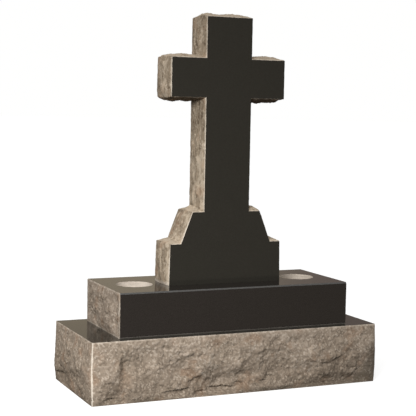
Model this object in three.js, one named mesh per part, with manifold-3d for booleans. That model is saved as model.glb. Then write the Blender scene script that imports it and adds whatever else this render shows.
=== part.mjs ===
// Cross headstone in black granite: a cross slab standing on a plinth with two vase sockets,
// and the plinth standing on a wider base. Each stone is one solid.
//
// Millimetres, +Z up, front towards -Y, origin in the middle of the base's underside.
// Polished faces are flat. Rock-pitched faces swell out from straight arrises, as a stone does
// when its edge is broken back with a pitching chisel.

import * as THREE from "three";
import { ImprovedNoise } from "three/addons/math/ImprovedNoise.js";
import { mergeVertices } from "three/addons/utils/BufferGeometryUtils.js";
import Module from "manifold-3d";

const wasm = await Module();
wasm.setup();

// Base: about 36 x 14 x 7 in.
const BASE_W = 914;
const BASE_D = 354;
const BASE_H = 180;

// Plinth: about 29 x 12 x 5 in, its polished edges eased by a small chamfer.
const PLINTH_W = 735;
const PLINTH_D = 300;
const PLINTH_H = 130;
const PLINTH_EASE = 4;

// Vase sockets, drilled blind into the plinth's top.
const SOCKET_X = 271;
const SOCKET_D = 110;
const SOCKET_DEPTH = 100;
const SOCKET_SIDES = 48;

// Cross: heights are above the plinth's top, widths are whole widths.
const CROSS_T = 115;
const CROSS_H = 793;
const FOOT_W = 366;
const FOOT_HEAD_W = 361;
const FOOT_H = 122;
const SLOPE_FOOT_W = 293;
const SLOPE_HEAD_W = 220;
const SLOPE_TOP = 216;
const SHAFT_W = 147;
const ARM_SPAN = 368;
const ARM_UNDER = 556;
const ARM_TOP = 671;

// Rock-pitched faces. `swell` is how far the middle of a face stands out of its arrises,
// `across` and `along` are how far in from a cap and from an outward corner it gets there,
// `cell` is the spacing of its points and `seed` picks its own piece of broken stone.
const BASE_ROCK = { swell: 16, across: 62, along: 60, cell: 22, rows: 9, seed: 3.7 };
const PLINTH_ROCK = { swell: 12, across: 56, along: 64, cell: 20, rows: 7, seed: 8.3 };
const CROSS_ROCK = { swell: 12, across: CROSS_T / 2, along: 34, cell: 20, rows: 8, seed: 5.1 };

// Broken stone: broad scallops with smaller ones on them, each as spacing and share of the swell.
const BROAD_SCALLOP = { spacing: 74, share: 0.75 };
const SMALL_SCALLOP = { spacing: 31, share: 0.3 };
const MIDDLE_SWELL = 0.84;
const LEAST_SWELL = 0.3;
const ARRIS_STEEPNESS = 2.2;

const GRANITE = { color: 0x35322d, roughness: 0.3, metalness: 0 };

// The finish of each edge of an outline.
const PITCHED = "pitched";
const EASED = "eased";
const SAWN = "sawn";

const perlin = new ImprovedNoise();

// A rise from 0 at an arris to 1 at a distance `reach` in from it.
function rise(distance, reach) {
  const q = THREE.MathUtils.clamp(distance / reach, 0, 1);
  return 1 - Math.pow(1 - q, ARRIS_STEEPNESS);
}

// The share of its full swell that the broken stone has at a point.
function brokenStone(p, seed) {
  const b = BROAD_SCALLOP.spacing;
  const s = SMALL_SCALLOP.spacing;
  const broad = BROAD_SCALLOP.share * perlin.noise(p.x / b + seed, p.y / b, p.z / b + seed);
  const small = SMALL_SCALLOP.share * perlin.noise(p.x / s, p.y / s + seed, p.z / s);
  return THREE.MathUtils.clamp(MIDDLE_SWELL + broad + small, LEAST_SWELL, 1);
}

// True where an anticlockwise outline has a corner that sticks out, false in an inner corner.
function sticksOut(before, at, after) {
  const arriving = at.clone().sub(before);
  const leaving = after.clone().sub(at);
  return arriving.cross(leaving) > 0;
}

// The shift of a corner that moves its two edges out by `d1` and `d2` along their normals.
function cornerShift(n1, d1, n2, d2) {
  const det = n1.x * n2.y - n1.y * n2.x;
  const x = (d1 * n2.y - d2 * n1.y) / det;
  const y = (n1.x * d2 - n2.x * d1) / det;
  return new THREE.Vector2(x, y);
}

// The edges of an anticlockwise outline, each with its direction, outward normal and finish.
function outlineEdges(corners, finishes) {
  const count = corners.length;
  return corners.map((from, i) => {
    const before = corners[(i + count - 1) % count];
    const to = corners[(i + 1) % count];
    const after = corners[(i + 2) % count];
    const direction = to.clone().sub(from).normalize();
    return {
      from,
      direction,
      length: from.distanceTo(to),
      normal: new THREE.Vector2(direction.y, -direction.x),
      finish: finishes[i],
      startSticksOut: sticksOut(before, from, to),
      endSticksOut: sticksOut(from, to, after),
    };
  });
}

// How far an edge moves out at `s` along it and `inset` from the nearer cap, before it is broken.
// A pitched edge swells and dies away at outward corners; an eased edge is chamfered at the caps.
function edgeOffset(edge, s, inset, stone) {
  if (edge.finish === EASED) {
    return -Math.max(0, stone.ease - inset);
  }
  if (edge.finish === SAWN) {
    return 0;
  }
  const { swell, across, along } = stone.rock;
  const atStart = edge.startSticksOut ? rise(s, along) : 1;
  const atEnd = edge.endSticksOut ? rise(edge.length - s, along) : 1;
  return swell * rise(inset, across) * atStart * atEnd;
}

// The stone's outline at a height `w` above its lower cap.
function ring(edges, w, stone) {
  const inset = Math.min(w, stone.thickness - w);
  const points = [];
  edges.forEach((edge, i) => {
    const last = edges[(i + edges.length - 1) % edges.length];
    const next = edges[(i + 1) % edges.length];
    const startOut = edgeOffset(edge, 0, inset, stone);
    const endOut = edgeOffset(edge, edge.length, inset, stone);
    const lastOut = edgeOffset(last, last.length, inset, stone);
    const nextOut = edgeOffset(next, 0, inset, stone);
    const start = cornerShift(last.normal, lastOut, edge.normal, startOut).dot(edge.direction);
    const end = cornerShift(edge.normal, endOut, next.normal, nextOut).dot(edge.direction) + edge.length;
    const broken = edge.finish === PITCHED;
    const cells = broken ? Math.max(2, Math.round(edge.length / stone.rock.cell)) : 1;
    for (let j = 0; j < cells; j += 1) {
      const q = j / cells;
      const point = edge.from.clone().addScaledVector(edge.direction, THREE.MathUtils.lerp(start, end, q));
      const unbroken = new THREE.Vector3(point.x, point.y, w);
      const share = broken && j > 0 ? brokenStone(unbroken, stone.rock.seed) : 1;
      point.addScaledVector(edge.normal, share * edgeOffset(edge, q * edge.length, inset, stone));
      points.push(new THREE.Vector3(point.x, point.y, w));
    }
  });
  return points;
}

// Heights for the rings, closer together near the caps. A chamfer's two rings come first and last.
function ringHeights(stone) {
  const ease = stone.ease ?? 0;
  const middle = stone.thickness - 2 * ease;
  const heights = [];
  for (let k = 0; k <= stone.rock.rows; k += 1) {
    heights.push(ease + (middle * (1 - Math.cos((Math.PI * k) / stone.rock.rows))) / 2);
  }
  return ease > 0 ? [0, ...heights, stone.thickness] : heights;
}

// A stone from its outline: rings of points from one flat cap to the other, skinned into a solid.
function cutStone(corners, finishes, stone) {
  const edges = outlineEdges(corners, finishes);
  const rings = ringHeights(stone).map((w) => ring(edges, w, stone));
  const count = rings[0].length;
  const faces = [];
  for (let k = 0; k + 1 < rings.length; k += 1) {
    for (let m = 0; m < count; m += 1) {
      const a = k * count + m;
      const b = k * count + ((m + 1) % count);
      faces.push(a, b, b + count, a, b + count, a + count);
    }
  }
  const upper = (rings.length - 1) * count;
  const outline = rings[0].map((p) => new THREE.Vector2(p.x, p.y));
  for (const [a, b, c] of THREE.ShapeUtils.triangulateShape(outline, [])) {
    faces.push(a, c, b);
    faces.push(upper + a, upper + b, upper + c);
  }
  const geometry = new THREE.BufferGeometry().setFromPoints(rings.flat());
  geometry.setIndex(faces);
  return geometry;
}

// Corners of a rectangle centred on the origin, anticlockwise from front left.
function rectangle(width, depth) {
  return [
    new THREE.Vector2(-width / 2, -depth / 2),
    new THREE.Vector2(width / 2, -depth / 2),
    new THREE.Vector2(width / 2, depth / 2),
    new THREE.Vector2(-width / 2, depth / 2),
  ];
}

// The cross from the right end of its foot up over the head and down to the left end.
function crossOutline() {
  const right = [
    new THREE.Vector2(FOOT_W / 2, 0),
    new THREE.Vector2(FOOT_HEAD_W / 2, FOOT_H),
    new THREE.Vector2(SLOPE_FOOT_W / 2, FOOT_H),
    new THREE.Vector2(SLOPE_HEAD_W / 2, SLOPE_TOP),
    new THREE.Vector2(SHAFT_W / 2, SLOPE_TOP),
    new THREE.Vector2(SHAFT_W / 2, ARM_UNDER),
    new THREE.Vector2(ARM_SPAN / 2, ARM_UNDER),
    new THREE.Vector2(ARM_SPAN / 2, ARM_TOP),
    new THREE.Vector2(SHAFT_W / 2, ARM_TOP),
    new THREE.Vector2(SHAFT_W / 2, CROSS_H),
  ];
  const left = right.map((p) => new THREE.Vector2(-p.x, p.y)).reverse();
  return [...right, ...left];
}

function solidFrom(geometry) {
  const bare = geometry.clone();
  bare.deleteAttribute("normal");
  bare.deleteAttribute("uv");
  const welded = mergeVertices(bare);
  return new wasm.Manifold(new wasm.Mesh({
    numProp: 3,
    vertProperties: new Float32Array(welded.attributes.position.array),
    triVerts: new Uint32Array(welded.index.array),
  }));
}

function geometryFrom(solid) {
  const { vertProperties, triVerts } = solid.getMesh();
  const geometry = new THREE.BufferGeometry();
  geometry.setAttribute("position", new THREE.BufferAttribute(new Float32Array(vertProperties), 3));
  geometry.setIndex(new THREE.BufferAttribute(new Uint32Array(triVerts), 1));
  return geometry;
}

function baseGeometry() {
  const finishes = [PITCHED, PITCHED, PITCHED, PITCHED];
  return cutStone(rectangle(BASE_W, BASE_D), finishes, { thickness: BASE_H, rock: BASE_ROCK });
}

// A drill for one vase socket: it stands as far above the plinth's top as the socket is deep.
function socketDrill(x) {
  const drill = new THREE.CylinderGeometry(SOCKET_D / 2, SOCKET_D / 2, 2 * SOCKET_DEPTH, SOCKET_SIDES);
  drill.rotateX(Math.PI / 2);
  drill.translate(x, 0, PLINTH_H);
  return drill;
}

function plinthGeometry() {
  const finishes = [EASED, PITCHED, EASED, PITCHED];
  const stone = { thickness: PLINTH_H, ease: PLINTH_EASE, rock: PLINTH_ROCK };
  const block = solidFrom(cutStone(rectangle(PLINTH_W, PLINTH_D), finishes, stone));
  const drilledLeft = block.subtract(solidFrom(socketDrill(-SOCKET_X)));
  const drilledBoth = drilledLeft.subtract(solidFrom(socketDrill(SOCKET_X)));
  return geometryFrom(drilledBoth);
}

// The slab is cut lying on its back, then stood up on its sawn foot.
function crossGeometry() {
  const corners = crossOutline();
  const finishes = corners.map((_, i) => (i === corners.length - 1 ? SAWN : PITCHED));
  const slab = cutStone(corners, finishes, { thickness: CROSS_T, rock: CROSS_ROCK });
  slab.rotateX(Math.PI / 2);
  slab.translate(0, CROSS_T / 2, 0);
  return slab;
}

function stoneMesh(name, geometry, height) {
  geometry.computeVertexNormals();
  const mesh = new THREE.Mesh(geometry, new THREE.MeshStandardMaterial(GRANITE));
  mesh.name = name;
  mesh.position.z = height;
  return mesh;
}

const headstone = new THREE.Group();
headstone.name = "cross_headstone";
headstone.add(stoneMesh("base", baseGeometry(), 0));
headstone.add(stoneMesh("plinth", plinthGeometry(), BASE_H));
headstone.add(stoneMesh("cross", crossGeometry(), BASE_H + PLINTH_H));

export default headstone;
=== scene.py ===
# %% [markdown]
# # A cross headstone in black granite
# The headstone is three stones stacked one on the other: a cross slab, a plinth with two vase sockets
# and a wider base. Their broad faces are polished nearly black. Their edges are rock-pitched: broken
# back with a chisel, so that rough pale stone swells out between straight arrises.
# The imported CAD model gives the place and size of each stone. Here each one is made again in its place,
# with the finer relief of broken granite, and each finish gets its own material. Lengths are in metres.

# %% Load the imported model
import math

import bmesh
import bpy
import numpy as np
from mathutils import Matrix, Vector


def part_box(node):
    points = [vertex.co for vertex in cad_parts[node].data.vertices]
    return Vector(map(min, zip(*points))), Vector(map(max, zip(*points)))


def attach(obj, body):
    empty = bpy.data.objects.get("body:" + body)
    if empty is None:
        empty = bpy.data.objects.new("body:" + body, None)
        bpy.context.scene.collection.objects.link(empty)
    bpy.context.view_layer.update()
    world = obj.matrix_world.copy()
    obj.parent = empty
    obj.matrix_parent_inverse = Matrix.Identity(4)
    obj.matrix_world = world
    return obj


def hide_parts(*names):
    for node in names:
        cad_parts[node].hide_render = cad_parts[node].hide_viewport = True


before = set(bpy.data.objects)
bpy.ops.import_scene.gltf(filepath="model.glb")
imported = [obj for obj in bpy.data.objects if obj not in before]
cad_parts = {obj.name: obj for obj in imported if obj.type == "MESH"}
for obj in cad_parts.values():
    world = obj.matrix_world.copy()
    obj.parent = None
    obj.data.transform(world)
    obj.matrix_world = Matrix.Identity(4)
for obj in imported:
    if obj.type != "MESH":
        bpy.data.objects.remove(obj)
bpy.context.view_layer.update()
bpy.ops.object.select_all(action="DESELECT")

# %% [markdown]
# ## The camera
# The photograph looks at the stone from a little to its left and from three quarters of its height,
# with a long lens. The camera's heading, dip and tilt were fitted to the stones' corners. Blender's
# camera looks along its own -Z, so the three directions right, up and back make the columns of its turn.

# %% Camera
CAMERA_PLACE = Vector((-1.4331, -3.1420, 0.8254))
CAMERA_HEADING = math.radians(23.97)
CAMERA_DIP = math.radians(4.867)
CAMERA_TILT = math.radians(1.0715)
CAMERA_LENS = 98.53


def camera_placing(place, heading, dip, tilt):
    """A camera's matrix from where it stands, its heading from +Y towards +X, its dip and its tilt."""
    level = Vector((math.sin(heading), math.cos(heading), 0))
    ahead = level * math.cos(dip) - Vector((0, 0, math.sin(dip)))
    right = Vector((math.cos(heading), -math.sin(heading), 0))
    up = right.cross(ahead)
    tilted_right = right * math.cos(tilt) + up * math.sin(tilt)
    tilted_up = up * math.cos(tilt) - right * math.sin(tilt)
    turn = Matrix((tilted_right, tilted_up, -ahead)).transposed()
    return Matrix.Translation(place) @ turn.to_4x4()


bpy.ops.object.camera_add()
camera = bpy.context.object
camera.name = "camera"
camera.data.lens = CAMERA_LENS
camera.matrix_world = camera_placing(CAMERA_PLACE, CAMERA_HEADING, CAMERA_DIP, CAMERA_TILT)
bpy.context.scene.camera = camera
print("camera stands at", tuple(round(v, 3) for v in camera.location))

# %% [markdown]
# ## Sums on sockets
# Materials and relief are both made of nodes. Writing them as sums is easier to read than wiring
# nodes one at a time, so a small class wraps a socket: `2 * grain - 1` then adds its own Math nodes.
# Its `node` method adds any other kind of node, and the methods below that one give short names to
# the kinds that are used often.


# %% A socket that can be used in sums
class Wire:
    """An output socket of a node tree. Sums on it add Math nodes to that tree."""

    def __init__(self, tree, socket=None):
        self.tree = tree
        self.socket = socket

    def node(self, kind, settings=None, sockets=None, out=0):
        """Adds a node: its settings are set first, then the values or links of its sockets."""
        made = self.tree.nodes.new(kind)
        for name, value in (settings or {}).items():
            setattr(made, name, value)
        for name, value in (sockets or {}).items():
            if isinstance(value, Wire):
                value.feed(made, name)
            else:
                made.inputs[name].default_value = value
        return Wire(self.tree, made.outputs[out] if made.outputs else None)

    def feed(self, node, socket):
        """Links this wire to a socket of a node that is already there."""
        self.tree.links.new(self.socket, node.inputs[socket])

    def math(self, operation, first, second):
        return self.node("ShaderNodeMath", {"operation": operation}, {0: first, 1: second})

    def __add__(self, other):
        return self.math("ADD", self, other)

    def __radd__(self, other):
        return self.math("ADD", other, self)

    def __sub__(self, other):
        return self.math("SUBTRACT", self, other)

    def __rsub__(self, other):
        return self.math("SUBTRACT", other, self)

    def __mul__(self, other):
        return self.math("MULTIPLY", self, other)

    def __rmul__(self, other):
        return self.math("MULTIPLY", other, self)

    def at_most(self, other):
        return self.math("MINIMUM", self, other)

    def at_least(self, other):
        return self.math("MAXIMUM", self, other)

    def size(self):
        """How far this is from 0, either way."""
        return self.math("ABSOLUTE", self, 0)

    def between(self, low, high):
        """0 where this is `low`, 1 where it is `high`, and a smooth step from one to the other."""
        sockets = {"Value": self, "From Min": low, "From Max": high}
        return self.node("ShaderNodeMapRange", {"interpolation_type": "SMOOTHSTEP"}, sockets)

    def vector(self, operation, other, out="Vector"):
        return self.node("ShaderNodeVectorMath", {"operation": operation}, {0: self, 1: other}, out)

    def scaled(self, amount):
        sockets = {0: self, "Scale": amount}
        return self.node("ShaderNodeVectorMath", {"operation": "SCALE"}, sockets)

    def axis(self, letter):
        """The X, Y or Z of a vector."""
        return self.node("ShaderNodeSeparateXYZ", None, {"Vector": self}, letter)

    def channel(self, name):
        """The Red, Green or Blue of a colour."""
        return self.node("ShaderNodeSeparateColor", None, {"Color": self}, name)

    def noise(self, spacing, detail=2.0, roughness=0.5, out="Fac"):
        """Cloudy noise about 0.5, with bumps `spacing` metres apart, at the place this wire gives."""
        sockets = {"Vector": self, "Scale": 1 / spacing, "Detail": detail, "Roughness": roughness}
        return self.node("ShaderNodeTexNoise", None, sockets, out)

    def cells(self, spacing, out="Color"):
        """Cells about `spacing` metres across: random colours, middles, or distances from the middles."""
        return self.node("ShaderNodeTexVoronoi", None, {"Vector": self, "Scale": 1 / spacing}, out)

    def blend(self, colour_a, colour_b):
        """Colour A where this is 0, colour B where it is 1."""
        settings = {"data_type": "RGBA"}
        return self.node("ShaderNodeMix", settings, {0: self, 6: colour_a, 7: colour_b}, 2)


print("sums on sockets are ready")

# %% [markdown]
# ## Polished granite
# Polished black granite is a dark mirror. Close up it is a mesh of small black and charcoal crystals,
# some a little glassier than others. The mirror comes from a low roughness; crystals about two
# millimetres across change the colour and the roughness slightly. The plinth's black is a little
# redder than that of the cross, as if it came from another block.

# %% Polished black granite
POLISH_SHADES = [(0.0160, 0.0149, 0.0122, 1), (0.0222, 0.0206, 0.0169, 1)]
PLINTH_POLISH_SHADES = [(0.0140, 0.0113, 0.0104, 1), (0.0202, 0.0170, 0.0151, 1)]
POLISHED_CRYSTAL = 0.0022
POLISHED_CLOUD = 0.05
CLOUD_SHARE = 0.3
POLISHED_ROUGHNESS = 0.10
CRYSTAL_ROUGHNESS = 0.05


def new_material(name):
    """An empty Principled material, with its shader node and a wire to start sums from."""
    material = bpy.data.materials.new(name)
    material.use_nodes = True
    shader = material.node_tree.nodes["Principled BSDF"]
    return material, shader, Wire(material.node_tree)


def place_on_stone(wire):
    """Where a point is, in the stone's own coordinates."""
    return wire.node("ShaderNodeTexCoord", out="Object")


def polished_granite(name, shades):
    material, shader, wire = new_material(name)
    place = place_on_stone(wire)
    crystal = place.cells(POLISHED_CRYSTAL).channel("Red")
    tone = (1 - CLOUD_SHARE) * crystal + CLOUD_SHARE * place.noise(POLISHED_CLOUD, 3.0)
    tone.blend(*shades).feed(shader, "Base Color")
    roughness = POLISHED_ROUGHNESS + CRYSTAL_ROUGHNESS * crystal
    roughness.feed(shader, "Roughness")
    return material


polished = polished_granite("polished_granite", POLISH_SHADES)
plinth_polished = polished_granite("polished_plinth_granite", PLINTH_POLISH_SHADES)
print("made", polished.name, "and", plinth_polished.name)

# %% [markdown]
# ## The grain of broken granite
# Where the stone is broken it is not black but a pale warm grey: broken crystals scatter the light.
# The grey is mottled in patches of a hand's width, in streaks, and in single light and dark crystals of
# a few millimetres. Each of these is a noise or a set of cells on the stone's own coordinates. The
# cells are stirred a little, so that crystals don't have straight sides. Which way each wall looks is
# kept on the mesh as the attribute `out`.

# %% Patches, streaks and crystals
PATCH = 0.12
PATCH_SHIFT = (2.79, 0, 0)
STREAK = 0.022
CRYSTAL = 0.0045
STIR = 0.005
STIR_BY = 0.004
NOISE_RANGE = (0.3, 0.7)


def attribute(wire, name, out="Fac"):
    """What is kept on the mesh under this name."""
    return wire.node("ShaderNodeAttribute", {"attribute_name": name}, None, out)


def broken_grain(wire, streak):
    """The wires that a broken stone's shades are mixed from. Streaks are `streak` times longer than wide."""
    place = place_on_stone(wire)
    drawn = place.vector("MULTIPLY", (1, 1, 1 / streak))
    stirred = place.vector("ADD", place.noise(STIR, 2.0, out="Color").scaled(STIR_BY))
    return {
        "place": place,
        "stirred": stirred,
        "right": place.axis("X"),
        "height": place.axis("Z"),
        "out": attribute(wire, "out", "Vector"),
        "patches": place.vector("ADD", PATCH_SHIFT).noise(PATCH, 2.0).between(*NOISE_RANGE),
        "streaks": drawn.noise(STREAK, 2.0).between(*NOISE_RANGE),
        "crystals": stirred.cells(CRYSTAL).channel("Green"),
    }


print("patches of", PATCH, "m, streaks of", STREAK, "m and crystals of", CRYSTAL, "m")

# %% [markdown]
# ## How pale broken granite is
# The patches, streaks and crystals are added up to one tone, with the ridges of the crust, kept on the mesh
# as the attribute `crust`: ridges are painted paler and pits darker, a painted highlight and shade. Upward
# faces are painted paler, a painted light from above. The undersides of the arms are painted dark, a painted
# shade, and the base is darker towards the ground.

# %% The tone of broken granite
PATCH_SHARE = 0.15
GRAIN_SHARE = 0.60
RIDGE_HIGHLIGHT_SHARE = 0.25
LOW_DARK_HEIGHT = 0.12
LOW_DARK_WANDER = 0.08
LOW_DARKENING = 0.20
UNDER_PAINTED_SHADE = 0.50
TOP_PAINTED_LIGHT = 0.35
RIDGE_HIGHLIGHT_RANGE = (0.3, 0.8)
UNDER_RANGE = (-0.9, -0.3)
TOP_RANGE = (0.5, 0.95)


def granite_tone(wire, grain, streaky):
    """From about 0 in the darkest stone to 1 in the palest. `streaky` is the streaks' part of the grain."""
    patches = PATCH_SHARE * grain["patches"]
    streaks = streaky * grain["streaks"]
    crystals = (GRAIN_SHARE - streaky) * grain["crystals"]
    # Painted highlight and shade: the crust's ridges are made paler and its pits darker.
    ridges = RIDGE_HIGHLIGHT_SHARE * attribute(wire, "crust").between(*RIDGE_HIGHLIGHT_RANGE)
    # The stone is darker towards the ground, below a wandering line.
    low_line = grain["height"] + LOW_DARK_WANDER * (grain["patches"] - 0.5)
    lowness = 1 - low_line.between(0.0, LOW_DARK_HEIGHT)
    upward = grain["out"].axis("Z")
    # Painted shade: the undersides of the arms are made darker.
    under = 1 - upward.between(*UNDER_RANGE)
    # Painted light from above: upward faces are made paler.
    top = upward.between(*TOP_RANGE)
    mottle = patches + streaks + crystals + ridges
    return mottle - LOW_DARKENING * lowness - UNDER_PAINTED_SHADE * under + TOP_PAINTED_LIGHT * top


print("tops are paler by", TOP_PAINTED_LIGHT, "and undersides darker by", UNDER_PAINTED_SHADE)

# %% [markdown]
# ## Painted shade and a darker foot
# The lower right of the base's front is painted dark below a slanting line, a painted shade of a facet that
# falls away from the light, and the foot to the right of the middle is darker too. A limit on the place,
# made ragged by noise, bounds each.

# %% Where the painted shade and the darker foot lie
SHADE_AND_FOOT_DARK = (0.085, 0.070, 0.052, 1)
SHADE_LINE = (0.376, 0.404)
SHADE_LEAN = 0.40
SHADE_TOP = (0.09, 0.15)
SHADE_RAGGED = 0.06
SHADE_RAG = 0.03
FRONT_RANGE = (-0.9, -0.6)
FOOT_TOP = (0.003, 0.014)
FOOT_RAGGED = 0.012
FOOT_RAG = 0.02
FOOT_STARTS = (-0.05, 0.15)
FOOT_DARK = 0.75


def shaded_facet_and_dark_foot(grain):
    """1 where the base is painted with shade or darker at its foot, and 0 elsewhere."""
    place = grain["place"]
    height = grain["height"]
    slant = grain["right"] - SHADE_LEAN * height + SHADE_RAGGED * (place.noise(SHADE_RAG, 2.0) - 0.5)
    in_front = 1 - grain["out"].axis("Y").between(*FRONT_RANGE)
    # Painted shade on the lower right of the base's front, where a facet falls away from the light.
    shaded_facet = slant.between(*SHADE_LINE) * (1 - height.between(*SHADE_TOP)) * in_front
    # Darker along the foot, to the right of the middle.
    foot = 1 - (height + FOOT_RAGGED * (place.noise(FOOT_RAG, 2.0) - 0.5)).between(*FOOT_TOP)
    return shaded_facet.at_least(FOOT_DARK * foot * grain["right"].between(*FOOT_STARTS))


# The painted shade reaches this high up the base.
print("soil reaches", SHADE_TOP[1], "m up the base")

# %% [markdown]
# ## Bruised arrises
# The chisel bruises the crystals along an arris, which leaves a ragged pale line. Two distances are
# kept on the mesh for it: `edge`, from the straight edges of a rough face, and `corner`, from the
# upright corner between two rough faces. The pale line of an upright corner is laid at the left only, where
# the corners face the light, so it is partly a bruise and partly a painted highlight; the arris that stands
# on the ground isn't bruised.

# %% Where arrises are bruised
BRUISE_PALE = (0.720, 0.640, 0.540, 1)
BRUISE_WIDTH = 0.0055
BRUISE_RAGGED = 0.005
BRUISE_RAG = 0.008
CORNER_BRUISE_AND_HIGHLIGHT = 0.75
OFF_GROUND = (0.004, 0.02)
RIGHT_HALF = (-0.1, 0.1)


def bruised_part(wire, grain, bruised):
    """How strongly each place is bruised; `bruised` is the most along a straight edge."""
    ragged = BRUISE_RAGGED * (grain["place"].noise(BRUISE_RAG, 3.0) - 0.5)
    from_edge = attribute(wire, "edge") + ragged
    from_corner = attribute(wire, "corner") + 0.8 * ragged
    off_ground = grain["height"].between(*OFF_GROUND)
    worn = off_ground * (1 - from_edge.between(0.3 * BRUISE_WIDTH, BRUISE_WIDTH))
    struck = 1 - from_corner.between(0.2 * BRUISE_WIDTH, 0.8 * BRUISE_WIDTH)
    # Only the left corners, which face the light, get this pale line: partly a bruise, partly a painted
    # highlight.
    struck = struck * (1 - grain["right"].between(*RIGHT_HALF))
    return (bruised * worn * (0.4 + 0.6 * grain["streaks"])).at_least(CORNER_BRUISE_AND_HIGHLIGHT * struck)


print("bruises are", BRUISE_WIDTH, "m wide")

# %% [markdown]
# ## Pitched granite
# The tone picks between three shades of grey. Rust-brown stains, the painted shade and darker foot of
# the base, bright single crystals and bruises are laid over it one after the other, and a bump gives the
# roughness of single crystals, which is too fine for the mesh. The base, the plinth's ends and the
# cross's edges each have their own shades, as blocks of one granite differ. Those of the cross are streaked
# along its height.

# %% Pitched granite
BASE_SHADES = [(0.165, 0.130, 0.097, 1), (0.251, 0.200, 0.152, 1), (0.356, 0.294, 0.234, 1)]
PLINTH_SHADES = [(0.146, 0.115, 0.086, 1), (0.222, 0.177, 0.136, 1), (0.314, 0.260, 0.208, 1)]
CROSS_SHADES = [(0.118, 0.088, 0.060, 1), (0.250, 0.197, 0.140, 1), (0.422, 0.347, 0.260, 1)]
RUST = (0.270, 0.165, 0.100, 1)
RUST_STAIN = 0.05
RUST_RANGE = (0.52, 0.72)
RUST_STRENGTH = 0.40
GLINT_RANGE = (0.80, 0.95)
GLINT_STRENGTH = 0.13
DARK_RANGE = (0.15, 0.5)
PALE_RANGE = (0.5, 0.85)
FACET = 0.0032
FINE_GRAIN = 0.003
BUMP_HEIGHT = 0.0012
PITCHED_ROUGHNESS = 0.85
PITCHED_SPECULAR = 0.3


def crystal_bump(grain):
    """The roughness of single crystals, as a bumped normal."""
    facets = grain["stirred"].cells(FACET, "Distance")
    height = 0.5 * facets + 0.5 * grain["place"].noise(FINE_GRAIN, 3.0, 0.65)
    sockets = {"Strength": 0.6, "Distance": BUMP_HEIGHT, "Height": height}
    return height.node("ShaderNodeBump", None, sockets)


def pitched_granite(name, shades, streak, streaky, bruised, shade_and_foot=0):
    """Broken granite in three shades.

    Its streaks are `streak` times longer than wide and `streaky` strong. `bruised` is how pale its
    edges are, and `shade_and_foot` is how strongly the painted shade and the darker foot are laid on.
    """
    dark, middle, pale = shades
    material, shader, wire = new_material(name)
    grain = broken_grain(wire, streak)
    tone = granite_tone(wire, grain, streaky)
    colour = tone.between(*DARK_RANGE).blend(dark, middle)
    colour = tone.between(*PALE_RANGE).blend(colour, pale)
    stain = grain["place"].noise(RUST_STAIN, 3.0).between(*RUST_RANGE)
    colour = (RUST_STRENGTH * stain).blend(colour, RUST)
    # Painted shade on the base's lower right, and a darker foot.
    if shade_and_foot:
        colour = (shade_and_foot * shaded_facet_and_dark_foot(grain)).blend(colour, SHADE_AND_FOOT_DARK)
    glint = grain["crystals"].between(*GLINT_RANGE)
    colour = (GLINT_STRENGTH * glint).blend(colour, BRUISE_PALE)
    colour = bruised_part(wire, grain, bruised).blend(colour, BRUISE_PALE)
    colour.feed(shader, "Base Color")
    crystal_bump(grain).feed(shader, "Normal")
    shader.inputs["Roughness"].default_value = PITCHED_ROUGHNESS
    shader.inputs["Specular IOR Level"].default_value = PITCHED_SPECULAR
    return material


pitched = pitched_granite("pitched_granite", BASE_SHADES, streak=1, streaky=0.2, bruised=0.3, shade_and_foot=0.75)
dusky = pitched_granite("dusky_granite", PLINTH_SHADES, streak=1, streaky=0.2, bruised=0.3)
streaked = pitched_granite("streaked_granite", CROSS_SHADES, streak=2.5, streaky=0.45, bruised=0.8)
print("made", pitched.name, dusky.name, "and", streaked.name)

# %% [markdown]
# ## Sawn, drilled and honed granite
# Faces that nobody sees, such as the undersides, are left as the saw cut them, an even mid grey. The
# sockets' walls are left as the core drill cut them, pale and finely ringed. The plinth's chamfers are
# honed, which leaves them smooth but not shiny. Each is two shades mixed by a fine noise.

# %% Sawn, drilled and honed granite
SAWN_SHADES = [(0.16, 0.145, 0.125, 1), (0.26, 0.235, 0.205, 1)]
DRILLED_SHADES = [(0.40, 0.348, 0.292, 1), (0.56, 0.496, 0.426, 1)]
HONED_SHADES = [(0.051, 0.051, 0.050, 1), (0.086, 0.084, 0.081, 1)]
SAWN_GRAIN = 0.004
SAWN_CLOUD = 0.06
DRILLED_GRAIN = 0.005
HONED_GRAIN = 0.004
DRILL_RING = 0.006
DRILL_RING_HEIGHT = 0.0008
DRAWN_LEVEL = (0.15, 0.15, 1.0)


def cut_granite(name, shades, roughness, tone_at):
    """Granite that a tool has cut flat. `tone_at` gives the mix of its two shades from a place."""
    material, shader, wire = new_material(name)
    tone = tone_at(place_on_stone(wire))
    tone.between(*NOISE_RANGE).blend(*shades).feed(shader, "Base Color")
    shader.inputs["Roughness"].default_value = roughness
    return material, shader, wire


def drill_rings(place):
    """Rings round the socket: noise that is drawn out level."""
    return place.vector("MULTIPLY", DRAWN_LEVEL).noise(DRILL_RING, 2.0)


def sawn_tone(place):
    return 0.5 * place.noise(SAWN_GRAIN, 4.0, 0.7) + 0.5 * place.noise(SAWN_CLOUD, 2.0)


def drilled_tone(place):
    return 0.5 * drill_rings(place) + 0.5 * place.noise(DRILLED_GRAIN, 4.0, 0.7)


def honed_tone(place):
    return place.noise(HONED_GRAIN, 3.0, 0.7)


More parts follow.
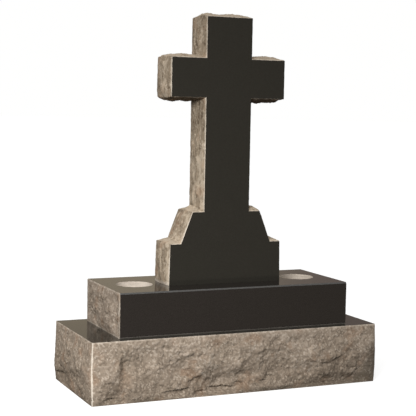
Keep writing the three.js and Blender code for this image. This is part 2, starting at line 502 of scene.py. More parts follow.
sawn, _, _ = cut_granite("sawn_granite", SAWN_SHADES, 0.75, sawn_tone)
honed, _, _ = cut_granite("honed_granite", HONED_SHADES, 0.5, honed_tone)
drilled, drilled_shader, drilled_wire = cut_granite("drilled_granite", DRILLED_SHADES, 0.85, drilled_tone)
ring_bump = {"Strength": 0.3, "Distance": DRILL_RING_HEIGHT}
ring_bump["Height"] = drill_rings(place_on_stone(drilled_wire))
drilled_wire.node("ShaderNodeBump", None, ring_bump).feed(drilled_shader, "Normal")
FINISHES = [polished, plinth_polished, pitched, dusky, streaked, sawn, drilled, honed]
POLISHED, PLINTH_POLISHED, PITCHED, DUSKY, STREAKED, SAWN, DRILLED, HONED = range(len(FINISHES))
print("made", sawn.name, drilled.name, "and", honed.name)

# %% [markdown]
# ## Working in edit mode
# An operator acts on whatever is selected, so a piece is first made the only selected one, and its
# vertices, edges or faces are then picked in code by their place or their direction.

# %% Open a piece and pick parts of it
NEAR = 1e-5


def select_only(piece):
    """Makes a piece the only selected one and the active one."""
    bpy.ops.object.select_all(action="DESELECT")
    piece.select_set(True)
    bpy.context.view_layer.objects.active = piece


def open_piece(piece):
    """Opens a piece in edit mode."""
    select_only(piece)
    bpy.ops.object.mode_set(mode="EDIT")


def close_piece():
    bpy.ops.object.mode_set(mode="OBJECT")


def pick(kind, wanted):
    """Selects the open piece's vertices, edges or faces that `wanted` accepts, and only those."""
    bpy.ops.mesh.select_mode(type=kind)
    bpy.ops.mesh.select_all(action="DESELECT")
    mesh = bpy.context.object.data
    shape = bmesh.from_edit_mesh(mesh)
    parts = {"VERT": shape.verts, "EDGE": shape.edges, "FACE": shape.faces}[kind]
    for part in parts:
        if wanted(part):
            part.select_set(True)
    bmesh.update_edit_mesh(mesh)


print("picking is ready")

# %% [markdown]
# ## The polished outline
# Every stone here is an outline given a thickness. For the cross and the base the outline is already
# in the CAD model, as the edge of a polished face. A copy of the node is merged, all its other faces
# are deleted, and a limited dissolve leaves just the corners. The plinth's polished top has two holes
# in it, so its outline is a plane of the same size instead, and the holes are drilled later.

# %% Take the stones' outlines
FRONT = Vector((0, -1, 0))
UP = Vector((0, 0, 1))
PLINTH_SWELL = 0.012
DISSOLVE_ANGLE = math.radians(1)


def outline_from_cad(name, node, normal):
    """A new piece that holds only the CAD node's flat face towards `normal`, as one clean polygon."""
    piece = bpy.data.objects.new(name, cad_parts[node].data.copy())
    bpy.context.scene.collection.objects.link(piece)
    piece.data.materials.clear()
    level = max(v.co.dot(normal) for v in piece.data.vertices)
    open_piece(piece)
    bpy.ops.mesh.select_all(action="SELECT")
    bpy.ops.mesh.remove_doubles(threshold=NEAR)
    pick("FACE", lambda face: min(v.co.dot(normal) for v in face.verts) < level - NEAR)
    bpy.ops.mesh.delete(type="FACE")
    bpy.ops.mesh.select_all(action="SELECT")
    bpy.ops.mesh.dissolve_limited(angle_limit=DISSOLVE_ANGLE)
    close_piece()
    print(name, "outline has", len(piece.data.vertices), "corners in", len(piece.data.polygons), "face")
    return piece


def plinth_outline(width, depth, top):
    """A plane of the plinth's length and depth, at the height of its top."""
    bpy.ops.mesh.primitive_plane_add(size=1, location=(0, 0, 0))
    piece = bpy.context.object
    piece.name = "plinth_stone"
    open_piece(piece)
    bpy.ops.transform.resize(value=(width, depth, 1))
    bpy.ops.transform.translate(value=(0, 0, top))
    close_piece()
    return piece


base_low, base_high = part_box("base")
plinth_low, plinth_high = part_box("plinth")
cross_low, cross_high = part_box("cross")
cross = outline_from_cad("cross_stone", "cross", FRONT)
base = outline_from_cad("base_stone", "base", UP)
plinth_width = round(plinth_high.x - plinth_low.x - 2 * PLINTH_SWELL, 3)
plinth = plinth_outline(plinth_width, plinth_high.y - plinth_low.y, plinth_high.z)
print("plinth outline is", plinth_width, "m long")

# %% [markdown]
# ## Giving the outline its thickness
# The outline's rough edges are cut into short lengths, then the whole wire is extruded away from the
# polished face in short steps. That lays an even net of small squares over every rough face, ready for
# relief, while the polished faces stay flat polygons. One subdivision cuts an edge at most a hundred
# times, so a long edge is cut twice.

# %% Cut an outline's edges
CELL = 0.0025
MOST_CUTS = 90
PLINTH_EASE = 0.004


def cut_edge(a, b):
    """Cuts the open piece's edge from a to b into lengths of about one cell."""
    pick("EDGE", lambda edge: all(min((v.co - a).length, (v.co - b).length) < NEAR for v in edge.verts))
    parts = max(1, round((b - a).length / CELL))
    first = math.ceil(parts / MOST_CUTS)
    if first > 1:
        bpy.ops.mesh.subdivide(number_cuts=first - 1)
    bpy.ops.mesh.subdivide(number_cuts=round(parts / first) - 1)


def steps_through(thickness, edge_step):
    """Steps of about a cell that add up to the thickness, with a given first and last step."""
    middle = thickness - 2 * edge_step
    count = round(middle / CELL)
    return [edge_step] + [middle / count] * count + [edge_step]


print("cells are about", CELL, "m wide")


# %% Raise the stones
def raise_stone(piece, thickness, is_pitched, edge_step=CELL):
    """Extrudes the outline to its thickness in steps of a cell, and closes both ends.

    `edge_step` is the first and the last step, which on an eased stone is its chamfer.
    """
    face = piece.data.polygons[0]
    corners = [piece.data.vertices[i].co.copy() for i in face.vertices]
    normal = face.normal.copy()
    edges = list(zip(corners, corners[1:] + corners[:1]))
    rough = [is_pitched(a, b) for a, b in edges]
    open_piece(piece)
    bpy.ops.mesh.select_all(action="SELECT")
    bpy.ops.mesh.delete(type="ONLY_FACE")
    for (a, b), broken in zip(edges, rough):
        if broken:
            cut_edge(a, b)
    bpy.ops.mesh.select_mode(type="EDGE")
    bpy.ops.mesh.select_all(action="SELECT")
    for step in steps_through(thickness, edge_step):
        bpy.ops.mesh.extrude_region_move(TRANSFORM_OT_translate={"value": -step * normal})
    top = corners[0].dot(normal)
    for level in (top, top - thickness):
        pick("EDGE", lambda edge: all(abs(v.co.dot(normal) - level) < NEAR for v in edge.verts))
        bpy.ops.mesh.edge_face_add()
    bpy.ops.mesh.select_all(action="SELECT")
    bpy.ops.mesh.normals_make_consistent(inside=False)
    close_piece()
    print(piece.name, "has", len(piece.data.vertices), "points")
    return {"corners": corners, "normal": normal, "thickness": thickness, "pitched": rough}


def is_plinth_end(a, b):
    return abs(a.x - b.x) < NEAR


def is_above_foot(a, b):
    return max(a.z, b.z) > cross_low.z + NEAR


base_plan = raise_stone(base, base_high.z - base_low.z, lambda a, b: True)
plinth_plan = raise_stone(plinth, plinth_high.z - plinth_low.z, is_plinth_end, PLINTH_EASE)
cross_plan = raise_stone(cross, cross_high.y - cross_low.y, is_above_foot)

# %% [markdown]
# ## The walls of a stone
# Each edge of the outline has become a wall. The sums that follow need, for every wall, the way it
# runs, the way it looks, its length, and whether the corner at each end sticks out or goes in.


# %% List the walls
def wall_lines(plan):
    """Each edge of the outline with its direction, outward normal, length and what its ends do."""
    corners = [np.array(c) for c in plan["corners"]]
    normal = np.array(plan["normal"])
    lines = []
    for i, start in enumerate(corners):
        end = corners[(i + 1) % len(corners)]
        along = (end - start) / np.linalg.norm(end - start)
        line = {"start": start, "along": along, "length": np.linalg.norm(end - start)}
        line["out"] = np.cross(along, normal)
        line["pitched"] = plan["pitched"][i]
        lines.append(line)
    for i, line in enumerate(lines):
        line["before"] = lines[i - 1]
        line["after"] = lines[(i + 1) % len(lines)]
        line["start_sticks_out"] = np.dot(line["before"]["out"], line["along"]) < 0
        line["end_sticks_out"] = np.dot(line["after"]["out"], line["along"]) > 0
    return lines


print("the cross has", len(wall_lines(cross_plan)), "walls")

# %% [markdown]
# ## How each stone is pitched
# Each stone's rough walls have their own character. `swell` is how far they stand out, and `dome` is
# how steeply they rise from an arris. `belly` is where the fullest line lies at the start of a wall and
# further along, as a share of the thickness from the far side, the one opposite the outline. `foot` is
# the share of the swell left at the far side's arris, and `corner_keep` the share left at an outer
# corner; the swell is full again `side_reach` from the corner. `struck` says that upright corners are
# bruised, and `ease` is the chamfer of the walls that stay polished.

# %% Each stone's rough walls
BASE_ROCK = {
    "swell": 0.015, "dome": 1.35, "belly": (0.26, 0.52), "foot": 0.05, "side_reach": 0.045,
    "corner_keep": 0.16, "struck": True, "ease": 0,
}
PLINTH_ROCK = {
    "swell": PLINTH_SWELL, "dome": 1.6, "belly": (0.45, 0.45), "foot": 0, "side_reach": 0.080,
    "corner_keep": 0, "struck": True, "ease": PLINTH_EASE,
}
CROSS_ROCK = {
    "swell": 0.012, "dome": 1.8, "belly": (0.5, 0.5), "foot": 0, "side_reach": 0.025,
    "corner_keep": 0.35, "struck": False, "ease": 0,
}
print("the base swells by", BASE_ROCK["swell"], "m and the cross by", CROSS_ROCK["swell"], "m")

# %% [markdown]
# ## The swell of a pitched face
# A mason pitches a face by striking off its edge all round, so the face starts at a straight arris and
# swells towards its fullest line. On the base that line lies low at the left of each wall, as seen from
# outside, and turns up to the middle further along. Each point's swell depends on how far it is from
# the arrises. In an inner corner two swollen faces meet in a valley, so the points near it also slide
# along their wall. The plinth's polished walls don't swell; their long edges go back to a chamfer.

# %% How far a wall swells
BELLY_TURN = 0.26
BELLY_TURN_WIDTH = 0.20


def rise(distance, reach, steepness):
    """From 0 at an arris to 1 at `reach` metres in from it."""
    return 1 - (1 - np.clip(distance / reach, 0, 1)) ** steepness


def belly_share(line, s, rock):
    """How far a wall's fullest line is from its far side, as a share of the thickness."""
    low, high = rock["belly"]
    turn = np.clip((s / line["length"] - BELLY_TURN) / BELLY_TURN_WIDTH + 0.5, 0, 1)
    return low + (high - low) * turn * turn * (3 - 2 * turn)


def wall_swell(line, s, depth, plan, rock):
    """How far a wall stands out at `s` along it and `depth` behind the polished face."""
    behind = plan["thickness"] - depth
    if not line["pitched"]:
        return -np.maximum(0, rock["ease"] - np.minimum(depth, behind))
    belly = plan["thickness"] * belly_share(line, s, rock)
    dome = rock["dome"]
    under = rock["foot"] + (1 - rock["foot"]) * rise(behind, belly, dome)
    out = rock["swell"] * rise(depth, plan["thickness"] - belly, dome) * under
    keep = rock["corner_keep"]
    if line["start_sticks_out"]:
        out = out * (keep + (1 - keep) * rise(s, rock["side_reach"], dome))
    if line["end_sticks_out"]:
        out = out * (keep + (1 - keep) * rise(line["length"] - s, rock["side_reach"], dome))
    return out


def corner_slide(line, other, at_start, depth, plan, rock):
    """How far along its wall a corner slides when its two walls move out."""
    here = 0 if at_start else line["length"]
    there = other["length"] if at_start else 0
    mine = wall_swell(line, np.full_like(depth, here), depth, plan, rock)
    others = wall_swell(other, np.full_like(depth, there), depth, plan, rock)
    cosine = np.dot(line["out"], other["out"])
    return (others - cosine * mine) * np.dot(other["out"], line["along"]) / (1 - cosine**2)


def swollen_wall(line, s, depth, plan, rock):
    """Where a wall's points go."""
    first = corner_slide(line, line["before"], True, depth, plan, rock)
    last = corner_slide(line, line["after"], False, depth, plan, rock)
    slid = s + first + (last - first) * s / line["length"]
    swell = wall_swell(line, s, depth, plan, rock)
    moved = line["start"] + np.outer(slid, line["along"]) + np.outer(swell, line["out"])
    return moved - np.outer(depth, np.array(plan["normal"]))


print("the fullest line turns about", BELLY_TURN, "of the way along a wall")

# %% [markdown]
# ## Marks on the mesh
# The breaking and the materials both need to know where on a wall a point is. So while the points
# move, five marks are kept on the mesh as attributes: `rough` is 1 on rough walls, `out` is the way the
# wall looks, `arris` is the distance from the straight edges, `edge` is the same with the edges beside
# an unbroken wall counted as nearer, so that they are bruised more broadly, and `corner` is the
# distance from an upright corner between two rough walls.

# %% Mark a stone's walls
SIDE_BRUISE = 0.45
FAR = 1.0


def lower(values, on, distance):
    values[on] = np.minimum(values[on], distance)


def mark_wall(marks, line, on, s, nearest, rock):
    """Marks a rough wall's points; `nearest` is their distance from its two long edges."""
    lower(marks["arris"], on, nearest)
    lower(marks["edge"], on, nearest)
    for end, gap in (("before", s), ("after", line["length"] - s)):
        if not line[end]["pitched"]:
            lower(marks["arris"], on, gap)
            lower(marks["edge"], on, SIDE_BRUISE * gap)
        elif rock["struck"]:
            lower(marks["corner"], on, gap)
    marks["rough"][on] = 1
    marks["out"][on] += line["out"]


def keep_marks(mesh, marks):
    out = marks.pop("out")
    out /= np.maximum(np.linalg.norm(out, axis=1, keepdims=True), NEAR)
    mesh.attributes.new("out", "FLOAT_VECTOR", "POINT").data.foreach_set("vector", out.ravel())
    for name, values in marks.items():
        mesh.attributes.new(name, "FLOAT", "POINT").data.foreach_set("value", values)


print("an edge beside an unbroken wall counts as", SIDE_BRUISE, "of its distance")


# %% Swell the stones
def swell_stone(piece, plan, rock):
    """Moves the walls' points out, and marks where on their wall they are."""
    mesh = piece.data
    count = len(mesh.vertices)
    points = np.empty(count * 3)
    mesh.vertices.foreach_get("co", points)
    points = points.reshape(-1, 3)
    depth = (np.array(plan["corners"][0]) - points) @ np.array(plan["normal"])
    moved = points.copy()
    marks = {name: np.full(count, FAR) for name in ("arris", "edge", "corner")}
    marks["rough"] = np.zeros(count)
    marks["out"] = np.zeros_like(points)
    for line in wall_lines(plan):
        away = points - line["start"]
        s = away @ line["along"]
        on = (abs(away @ line["out"]) < NEAR) & (s > -NEAR) & (s < line["length"] + NEAR)
        moved[on] = swollen_wall(line, s[on], depth[on], plan, rock)
        if line["pitched"]:
            nearest = np.minimum(depth[on], plan["thickness"] - depth[on])
            mark_wall(marks, line, on, s[on], nearest, rock)
    mesh.vertices.foreach_set("co", moved.ravel())
    keep_marks(mesh, marks)
    mesh.update()
    print(piece.name, "swells by", round(float(abs(moved - points).max()) * 1000, 1), "mm")


swell_stone(base, base_plan, BASE_ROCK)
swell_stone(plinth, plinth_plan, PLINTH_ROCK)
swell_stone(cross, cross_plan, CROSS_ROCK)

# %% [markdown]
# ## Chips listed one by one
# The largest chips are what the eye knows this stone by, so those on the base's front and on the left
# ends of the base and the plinth are placed after the photograph. Each is a line on a wall: the
# stone drops on the right hand of someone going along it. A short drop makes a ledge or a crack, and a
# long one a soft slope. A row gives the line's start and end, to the right and up as seen from outside,
# then how deep the chip is, how far from the line it takes to drop, and how far to come back.

# %% Chips on the base and the plinth
FRONT_WALL = (FRONT, Vector((1, 0, 0)))
LEFT_WALL = (Vector((-1, 0, 0)), FRONT)
FRONT_LEDGES = [
    ((-0.440, 0.018), (-0.375, 0.019), 0.007, 0.002, 0.014),
    ((-0.262, 0.026), (-0.148, 0.029), 0.012, 0.002, 0.025),
    ((-0.243, 0.037), (-0.196, 0.032), 0.005, 0.002, 0.012),
    ((-0.153, 0.018), (-0.092, 0.015), 0.007, 0.002, 0.014),
    ((-0.112, 0.023), (0.000, 0.025), 0.012, 0.002, 0.025),
    ((-0.030, 0.036), (0.016, 0.035), 0.006, 0.002, 0.014),
    ((-0.021, 0.053), (0.011, 0.073), 0.006, 0.002, 0.025),
    ((0.050, 0.033), (0.090, 0.037), 0.007, 0.002, 0.020),
    ((0.076, 0.050), (0.118, 0.048), 0.007, 0.002, 0.016),
]
FRONT_CREASES = [
    ((-0.386, 0.040), (-0.378, 0.155), 0.013, 0.020, 0.110),
    ((-0.456, 0.076), (-0.383, 0.076), 0.003, 0.014, 0.050),
    ((-0.182, 0.038), (-0.116, 0.070), 0.006, 0.003, 0.030),
    ((-0.252, 0.104), (-0.252, 0.170), 0.005, 0.010, 0.060),
    ((0.205, 0.081), (0.268, 0.080), 0.003, 0.002, 0.015),
    ((0.250, 0.076), (0.312, 0.075), 0.005, 0.004, 0.025),
    ((0.294, 0.073), (0.346, 0.099), 0.005, 0.004, 0.030),
]
FRONT_SLOPES = [
    ((-0.430, 0.084), (-0.322, 0.076), 0.008, 0.055, 0.060),
    ((-0.290, 0.156), (-0.110, 0.152), 0.015, 0.070, 0.060),
    ((-0.204, 0.047), (-0.060, 0.131), 0.020, 0.075, 0.070),
    ((-0.080, 0.172), (0.300, 0.156), 0.017, 0.100, 0.050),
    ((0.130, 0.034), (0.480, 0.048), 0.015, 0.036, 0.020),
    ((0.300, 0.040), (0.480, 0.165), 0.015, 0.070, 0.080),
]
BASE_LEFT_CHIPS = [
    ((-0.175, 0.040), (-0.060, 0.036), 0.007, 0.003, 0.030),
    ((0.010, 0.054), (0.060, 0.052), 0.006, 0.002, 0.014),
    ((-0.160, 0.075), (0.000, 0.060), 0.007, 0.060, 0.020),
    ((0.040, 0.120), (0.120, 0.090), 0.006, 0.030, 0.040),
]
PLINTH_LEFT_CHIPS = [
    ((-0.040, 0.288), (0.070, 0.270), 0.008, 0.025, 0.035),
    ((-0.095, 0.220), (-0.010, 0.180), 0.005, 0.004, 0.030),
    ((0.030, 0.244), (0.100, 0.238), 0.004, 0.003, 0.014),
]
BASE_CHIPS = [(FRONT_WALL, FRONT_LEDGES + FRONT_CREASES + FRONT_SLOPES), (LEFT_WALL, BASE_LEFT_CHIPS)]
PLINTH_CHIPS = [(LEFT_WALL, PLINTH_LEFT_CHIPS)]
print("chips on the base:", sum(len(rows) for _, rows in BASE_CHIPS))

# %% How deep the chips are
CHIP_TAPER = 0.4
ON_WALL_RANGE = (0.7, 0.9)


def chip_depth(torn, wall, start, end, depth, fall, climb):
    """How deep one chip has left the stone."""
    looks, right = wall
    first = start[0] * right + start[1] * UP
    along = end[0] * right + end[1] * UP - first
    length = along.length
    along.normalize()
    away = torn.vector("SUBTRACT", first)
    gone = away.vector("DOT_PRODUCT", along, "Value")
    beside = away.vector("DOT_PRODUCT", along.cross(looks), "Value")
    taper = CHIP_TAPER * length
    span = gone.between(0, taper) * (1 - gone.between(length - taper, length))
    return depth * span * beside.between(0, fall) * (1 - beside.between(fall, fall + climb))


def chipped_away(torn, out, chips):
    """How deep all the chips together have left the stone."""
    gone = 0
    for wall, rows in chips:
        on_wall = out.vector("DOT_PRODUCT", wall[0], "Value").between(*ON_WALL_RANGE)
        for row in rows:
            gone = gone + on_wall * chip_depth(torn, wall, *row)
    return gone


print("a chip tapers over", CHIP_TAPER, "of its length at each end")

# %% [markdown]
# ## The relief of broken granite
# Granite breaks in scallops, bowls that the pitching chisel left, and in flat flakes that lean every
# way. Both are Voronoi cells: a scallop is deepest in the middle of its cell, and a flake has its cell's
# own height and lean. A crust of broken crystals lies over them, in small lumps and sharp ridges.

# %% Scallops, flakes and crust
BASE_SCALLOPS = [(0.090, 0.014), (0.040, 0.006)]
CROSS_SCALLOPS = [(0.050, 0.006), (0.024, 0.004)]
FLAKES = [(0.032, 0.0022, 0.12), (0.014, 0.0012, 0.15)]
ROLL = 0.16
ROLL_LEVEL = 0.58
SCALLOP_LEVEL = 0.4
LUMP = 0.012
RIDGE = 0.014
RIDGE_SHARPNESS = 4
RIDGE_HEIGHTS = (-0.2, 1.0)
HALF = (0.5, 0.5, 0.5)


def scallops_and_flakes(place, stirred, roll, scallops):
    """The larger relief: a slow roll of the whole face, its scallops and its flakes."""
    relief = roll * (place.noise(ROLL, 1.5) - ROLL_LEVEL)
    for spacing, hollow in scallops:
        away = stirred.cells(spacing, "Distance")
        relief = relief + hollow * (away * away - SCALLOP_LEVEL)
    for spacing, step, lean in FLAKES:
        tilt = stirred.cells(spacing).vector("SUBTRACT", HALF)
        from_middle = stirred.vector("SUBTRACT", stirred.cells(spacing, "Position"))
        leaning = from_middle.vector("DOT_PRODUCT", tilt, "Value")
        relief = relief + step * tilt.axis("X") + lean * leaning
    return relief


def crusted(place):
    """The crust of broken crystals, from about 0 in its pits to 1 on its ridges."""
    ridges = 1 - RIDGE_SHARPNESS * (place.noise(RIDGE, 1.0) - 0.5).size()
    return 0.5 * place.noise(LUMP, 2.5, 0.65) + 0.5 * ridges.between(*RIDGE_HEIGHTS)


def wander(place, spacing, amount):
    """A small random shift to every side."""
    return place.noise(spacing, 2.0, out="Color").vector("SUBTRACT", HALF).scaled(amount)


print("scallops on the base are", [spacing for spacing, _ in BASE_SCALLOPS], "m apart")

# %% [markdown]
# ## Breaking the stone
# A Geometry Nodes modifier moves each point along the way its wall looks, by the sum of the relief, the
# crust and the chips. All of them fade out towards the arris, which is only nibbled, so that it stays a
# straight line. The modifier is applied, because the visual model is the mesh itself.

# %% How far each point moves
STONE_STIR = 0.03
STONE_STIR_BY = 0.02
SEED_WAY = (1, 2.7, 1.3)
CHIP_STIR = 0.5
FRAY = 0.009
FRAY_BY = 0.008
CRUST_HEIGHT = 0.0048
NIBBLE = 0.014
NIBBLE_DEPTH = 0.0016
NIBBLE_LEVEL = 0.62
RELIEF_FADE = 0.040
RELIEF_CORNER_FADE = 0.070
CRUST_FADE = (0.0005, 0.010)
CHIP_FADE = 0.008
CHIP_CORNER_FADE = (0.015, 0.06)


def kept_mark(wire, name, kind="FLOAT"):
    """A mark that was kept on the mesh, for a Geometry Nodes tree."""
    return wire.node("GeometryNodeInputNamedAttribute", {"data_type": kind}, {"Name": name}, "Attribute")


def breaking(wire, seed, roll, scallops, chips, streak):
    """How far each point moves, as a vector, and the crust at that point."""
    arris = kept_mark(wire, "arris")
    corner = kept_mark(wire, "corner")
    out = kept_mark(wire, "out", "FLOAT_VECTOR")
    stone = wire.node("GeometryNodeInputPosition")
    drawn = stone.vector("MULTIPLY", (1, 1, 1 / streak))
    place = drawn.vector("ADD", tuple(seed * share for share in SEED_WAY))
    stir = wander(place, STONE_STIR, STONE_STIR_BY)
    relief = scallops_and_flakes(place, place.vector("ADD", stir), roll, scallops)
    crust = crusted(place)
    torn = stone.vector("ADD", stir.scaled(CHIP_STIR)).vector("ADD", wander(place, FRAY, FRAY_BY))
    chipped = chipped_away(torn, out, chips)
    chipped = chipped * corner.between(*CHIP_CORNER_FADE) * arris.between(0, CHIP_FADE)
    nibbled = NIBBLE_DEPTH * (place.noise(NIBBLE, 2.0) - NIBBLE_LEVEL).at_most(0)
    inner = arris.at_most(corner).between(*CRUST_FADE)
    broad = arris.between(0, RELIEF_FADE) * corner.between(0, RELIEF_CORNER_FADE)
    shift = broad * relief + inner * (CRUST_HEIGHT * (crust - 0.5)) + (1 - inner) * nibbled - chipped
    return out.scaled(kept_mark(wire, "rough") * shift), crust


print("the crust is", CRUST_HEIGHT, "m high")


# %% Break the rough faces
def break_stone(piece, seed, roll, scallops, chips, streak):
    """Gives a stone's rough faces their broken relief. `seed` picks another part of the same noise."""
    tree = bpy.data.node_groups.new("broken_granite", "GeometryNodeTree")
    for way in ("INPUT", "OUTPUT"):
        tree.interface.new_socket("Geometry", in_out=way, socket_type="NodeSocketGeometry")
    wire = Wire(tree)
    offset, crust = breaking(wire, seed, roll, scallops, chips, streak)
    sockets = {"Geometry": wire.node("NodeGroupInput"), "Offset": offset}
    moved = wire.node("GeometryNodeSetPosition", None, sockets)
    settings = {"data_type": "FLOAT", "domain": "POINT"}
    sockets = {"Geometry": moved, "Name": "crust", "Value": crust}
    kept = wire.node("GeometryNodeStoreNamedAttribute", settings, sockets)
    wire.node("NodeGroupOutput", None, {"Geometry": kept})
    select_only(piece)
    modifier = piece.modifiers.new("broken", "NODES")
    modifier.node_group = tree
    bpy.ops.object.modifier_apply(modifier=modifier.name)
    bpy.data.node_groups.remove(tree)
    print(piece.name, "is broken; it reaches", [round(v, 3) for v in piece.dimensions])


break_stone(base, seed=12.33, roll=0.025, scallops=BASE_SCALLOPS, chips=BASE_CHIPS, streak=1)
break_stone(plinth, seed=15.28, roll=0.030, scallops=BASE_SCALLOPS, chips=PLINTH_CHIPS, streak=1)
break_stone(cross, seed=6.69, roll=0.004, scallops=CROSS_SCALLOPS, chips=[], streak=1.8)

# %% [markdown]
# ## Finishes, face by face
# The front and back of the cross are polished, and so is the base's top. The base's underside and the
# cross's foot are sawn. All the rest of these two stones is pitched. A face is told by where its middle
# is and which way it looks.

# %% Finish the base and the cross
SMOOTH_ANGLE = math.radians(30)
FLAT = 0.999


def finish_faces(piece, finish_of):
    """Sets each face's material from its middle and its normal, and smooths all but the sharp edges."""
    for material in FINISHES:
        piece.data.materials.append(material)
    for face in piece.data.polygons:
        face.material_index = finish_of(face)
    select_only(piece)
    bpy.ops.object.shade_smooth_by_angle(angle=SMOOTH_ANGLE)
    indices = [face.material_index for face in piece.data.polygons]
    print(piece.name, "faces:", {material.name: indices.count(i) for i, material in enumerate(FINISHES)})


def is_top(face, high):
    return face.normal.z > FLAT and face.center.z > high.z - NEAR


def is_underside(face, low):
    return face.normal.z < -FLAT and face.center.z < low.z + NEAR


def base_finish(face):
    if is_top(face, base_high):
        return POLISHED
    if is_underside(face, base_low):
        return SAWN
    return PITCHED


def cross_finish(face):
    if min(abs(face.center.y - cross_low.y), abs(face.center.y - cross_high.y)) < NEAR:
        return POLISHED
    if abs(face.center.z - cross_low.z) < NEAR:
        return SAWN
    return STREAKED


finish_faces(base, base_finish)
finish_faces(cross, cross_finish)

# %% [markdown]
# ## The plinth's sockets
# The two vase sockets are round holes drilled into the plinth's top. A cylinder the size of the drill
# is taken away from the stone with a Boolean modifier, once for each socket. Before that, the strips
# that the steps of the extrusion left on the plinth's polished front and back are joined.

# %% Drill the sockets
SOCKET_X = 0.271
SOCKET_RADIUS = 0.055
SOCKET_DEPTH = 0.100
SOCKET_SIDES = 128
POLISHED_MIDDLE = 0.1
JOIN_ANGLE = math.radians(0.5)


def is_polished_strip(face):
    return abs(face.normal.y) > FLAT and abs(face.calc_center_median().x) < POLISHED_MIDDLE


def flatten_polished_walls(piece):
    """Joins the thin strips of the plinth's front and back into single faces."""
    open_piece(piece)
    pick("FACE", is_polished_strip)
    bpy.ops.mesh.dissolve_limited(angle_limit=JOIN_ANGLE)
    close_piece()


def drill_socket(piece, x, top):
    bpy.ops.object.select_all(action="DESELECT")
    bpy.ops.mesh.primitive_cylinder_add(
        vertices=SOCKET_SIDES, radius=SOCKET_RADIUS, depth=2 * SOCKET_DEPTH, location=(x, 0, top)
    )
    drill = bpy.context.object
    bpy.context.view_layer.objects.active = piece
    modifier = piece.modifiers.new("socket", "BOOLEAN")
    modifier.object = drill
    modifier.operation = "DIFFERENCE"
    modifier.solver = "EXACT"
    bpy.ops.object.modifier_apply(modifier=modifier.name)
    bpy.data.objects.remove(drill)
    print("drilled a socket at", x)


flatten_polished_walls(plinth)
for side in (-1, 1):
    drill_socket(plinth, side * SOCKET_X, plinth_high.z)

# %% [markdown]
# ## The plinth's finishes
# The sockets are drilled, the top, front and back polished, and the ends pitched. The long chamfers
# are honed above and sawn below, where the plinth stands on the base.

# %% Finish the plinth
PLINTH_END = 0.03
LEAST_SLANT = 0.1
MOST_SLANT = 0.9


def in_socket(point):
    """Whether a point lies inside one of the sockets, below the plinth's top and above its underside."""
    across = Vector((abs(point.x) - SOCKET_X, point.y)).length
    return across < SOCKET_RADIUS + NEAR and plinth_low.z + NEAR < point.z < plinth_high.z - NEAR


def plinth_finish(face):
    if in_socket(face.center):
        return DRILLED
    if is_underside(face, plinth_low):
        return SAWN
    if is_top(face, plinth_high):
        return PLINTH_POLISHED
    if abs(face.center.x) > plinth_width / 2 - PLINTH_END:
        return DUSKY
    if LEAST_SLANT < abs(face.normal.z) < MOST_SLANT:
        return HONED if face.normal.z > 0 else SAWN
    return PLINTH_POLISHED


finish_faces(plinth, plinth_finish)

# %% [markdown]
# ## Putting the stones in the model
# Nothing moves on a headstone, so all three stones ride on the model's one body. Each takes the place
# of its CAD node.

# %% Ride and replace
for piece, node in ((base, "base"), (plinth, "plinth"), (cross, "cross")):
    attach(piece, "root")
    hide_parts(node)
    print(piece.name, "stands for", node)

# %% [markdown]
# ## The floor
# A pale floor runs out of sight. It glows a little, so that it meets the white sky without a line, and
# only the camera sees it: the stone neither mirrors it nor is lit by it.

# %% Floor
FLOOR_SIZE = 200
FLOOR_LOOKS = {
    "Base Color": (0.45, 0.45, 0.45, 1),
    "Roughness": 1.0,
    "Specular IOR Level": 0.0,
    "Emission Color": (0.72, 0.72, 0.72, 1),
    "Emission Strength": 1.0,
}

bpy.ops.mesh.primitive_plane_add(size=FLOOR_SIZE)
floor = bpy.context.object
floor.name = "floor"
floor_paint, floor_shader, _ = new_material("floor_paint")
for socket, value in FLOOR_LOOKS.items():
    floor_shader.inputs[socket].default_value = value
floor.data.materials.append(floor_paint)
floor.visible_glossy = False
floor.visible_diffuse = False
print("floor is laid")

# %% [markdown]
# ## The light
# One soft light stands at the front left and is aimed low, so that it brings out the relief of the
# base. It spreads less than a bare panel would. The polish would show it as a white square, so it isn't
# mirrored.

# %% Soft light
KEY_PLACE = Vector((-1.65, -2.05, 1.25))
KEY_AIM = Vector((-0.5, -0.18, 0.10))
KEY_SPREAD = math.radians(90)
KEY_SIZE = 1.0
KEY_POWER = 22.6

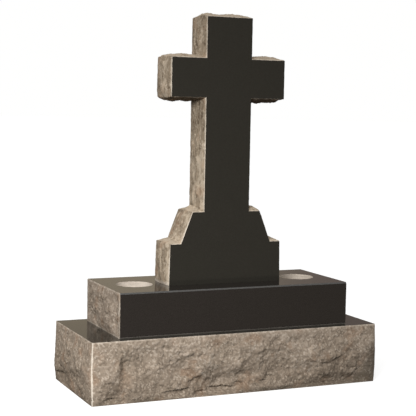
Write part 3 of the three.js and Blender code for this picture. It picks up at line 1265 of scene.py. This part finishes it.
bpy.ops.object.light_add(type="AREA", location=KEY_PLACE)
key_light = bpy.context.object
key_light.name = "key_light"
key_light.data.size = KEY_SIZE
key_light.data.energy = KEY_POWER
key_light.data.spread = KEY_SPREAD
key_light.visible_glossy = False
key_light.rotation_euler = (KEY_AIM - KEY_PLACE).to_track_quat("-Z", "Y").to_euler()
print("light stands at", tuple(round(v, 2) for v in key_light.location))

# %% [markdown]
# ## The sky
# The sky does three jobs, told apart by the kind of ray. The camera sees it white. It fills the shadows
# with soft light from above the horizon and hardly any from below, so that undersides stay dark. What
# the polish mirrors is darker: dim in front, brightest low behind, less bright higher up, and dimmest
# far to the right, which gives the polished tops the shading they have in the photograph.

# %% Sky
SKY_SEEN = (1.0, 1.0, 0.995, 1)
SKY_FILL = (0.68, 0.676, 0.672, 1)
GROUND_FILL = (0.030, 0.031, 0.033, 1)
FRONT_MIRRORED = (0.28, 0.245, 0.190, 1)
BACK_MIRRORED = (0.477, 0.404, 0.297, 1)
HIGH_MIRRORED = (0.350, 0.292, 0.218, 1)
FAR_MIRRORED = (0.212, 0.172, 0.152, 1)
HORIZON = (0.0, 0.15)
HIGH_UP = (0.16, 0.23)
FAR_RIGHT = (0.36, 0.52)
BEHIND = (0.0, 0.2)

world = bpy.data.worlds.new("studio")
world.use_nodes = True
bpy.context.scene.world = world
sky = Wire(world.node_tree)
towards = sky.node("ShaderNodeTexCoord", out="Generated")
upward = towards.axis("Z").between(*HORIZON)
higher = towards.axis("Z").between(*HIGH_UP)
rightward = towards.axis("X").between(*FAR_RIGHT)
backward = towards.axis("Y").between(*BEHIND)
mirrored = sky.node("ShaderNodeLightPath", out="Is Glossy Ray")
seen = sky.node("ShaderNodeLightPath", out="Is Camera Ray")
fill = upward.blend(GROUND_FILL, SKY_FILL)
behind = rightward.blend(higher.blend(BACK_MIRRORED, HIGH_MIRRORED), FAR_MIRRORED)
reflection = backward.blend(FRONT_MIRRORED, behind)
sky_colour = seen.blend(mirrored.blend(fill, reflection), SKY_SEEN)
sky_colour.feed(world.node_tree.nodes["Background"], "Color")
bpy.context.scene.view_settings.view_transform = "Standard"
print("sky is set")
